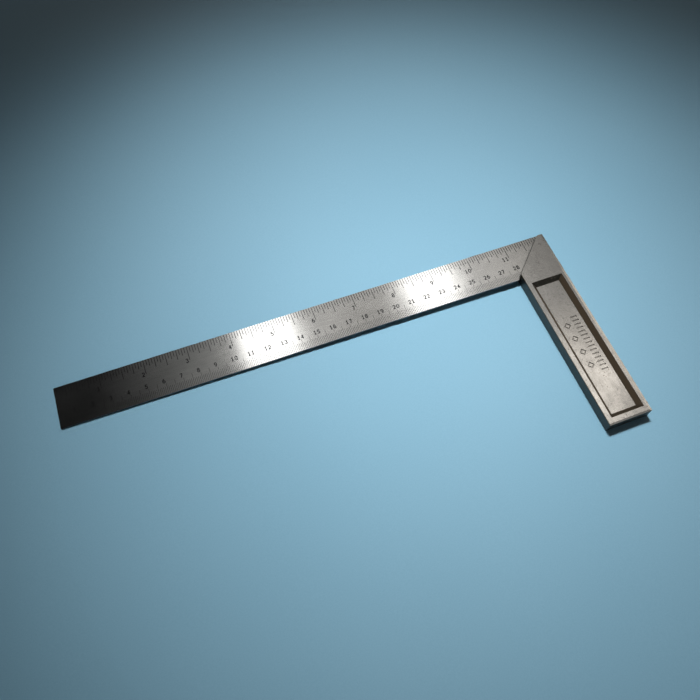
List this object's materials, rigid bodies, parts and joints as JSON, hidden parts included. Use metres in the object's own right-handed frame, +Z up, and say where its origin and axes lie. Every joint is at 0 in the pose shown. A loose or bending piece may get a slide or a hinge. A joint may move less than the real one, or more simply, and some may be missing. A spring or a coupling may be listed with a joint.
{
  "type": "steel square ruler",
  "caption": "Fixed try square: a flat steel rule blade with inch and centimetre scales, set at a right angle in a flat cast stock with a mitred top and recessed faces.",
  "frame": {"origin": "inner corner of the square, where the blade's inner edge meets the stock's inner face, on the plane of the stock's lower face", "axes": "+X along the blade from its free end into the stock, +Y out across the blade, so the stock runs down -Y, +Z up through the face that carries the scales"},
  "size_m": [0.3055, 0.1295, 0.008],
  "materials": {
    "cast_stock": "satin cast grey, faintly mottled",
    "rule_steel": "brushed along the blade",
    "pin_steel": "ground flush",
    "scale_marking": "matt black"
  },
  "bodies": {
    "root": {"stock": "cast_stock", "blade": "rule_steel", "lower_pin": "pin_steel", "upper_pin": "pin_steel", "inch_ticks": "scale_marking", "inch_numerals": "scale_marking", "cm_ticks": "scale_marking", "cm_numerals": "scale_marking"}
  },
  "joints": []
}
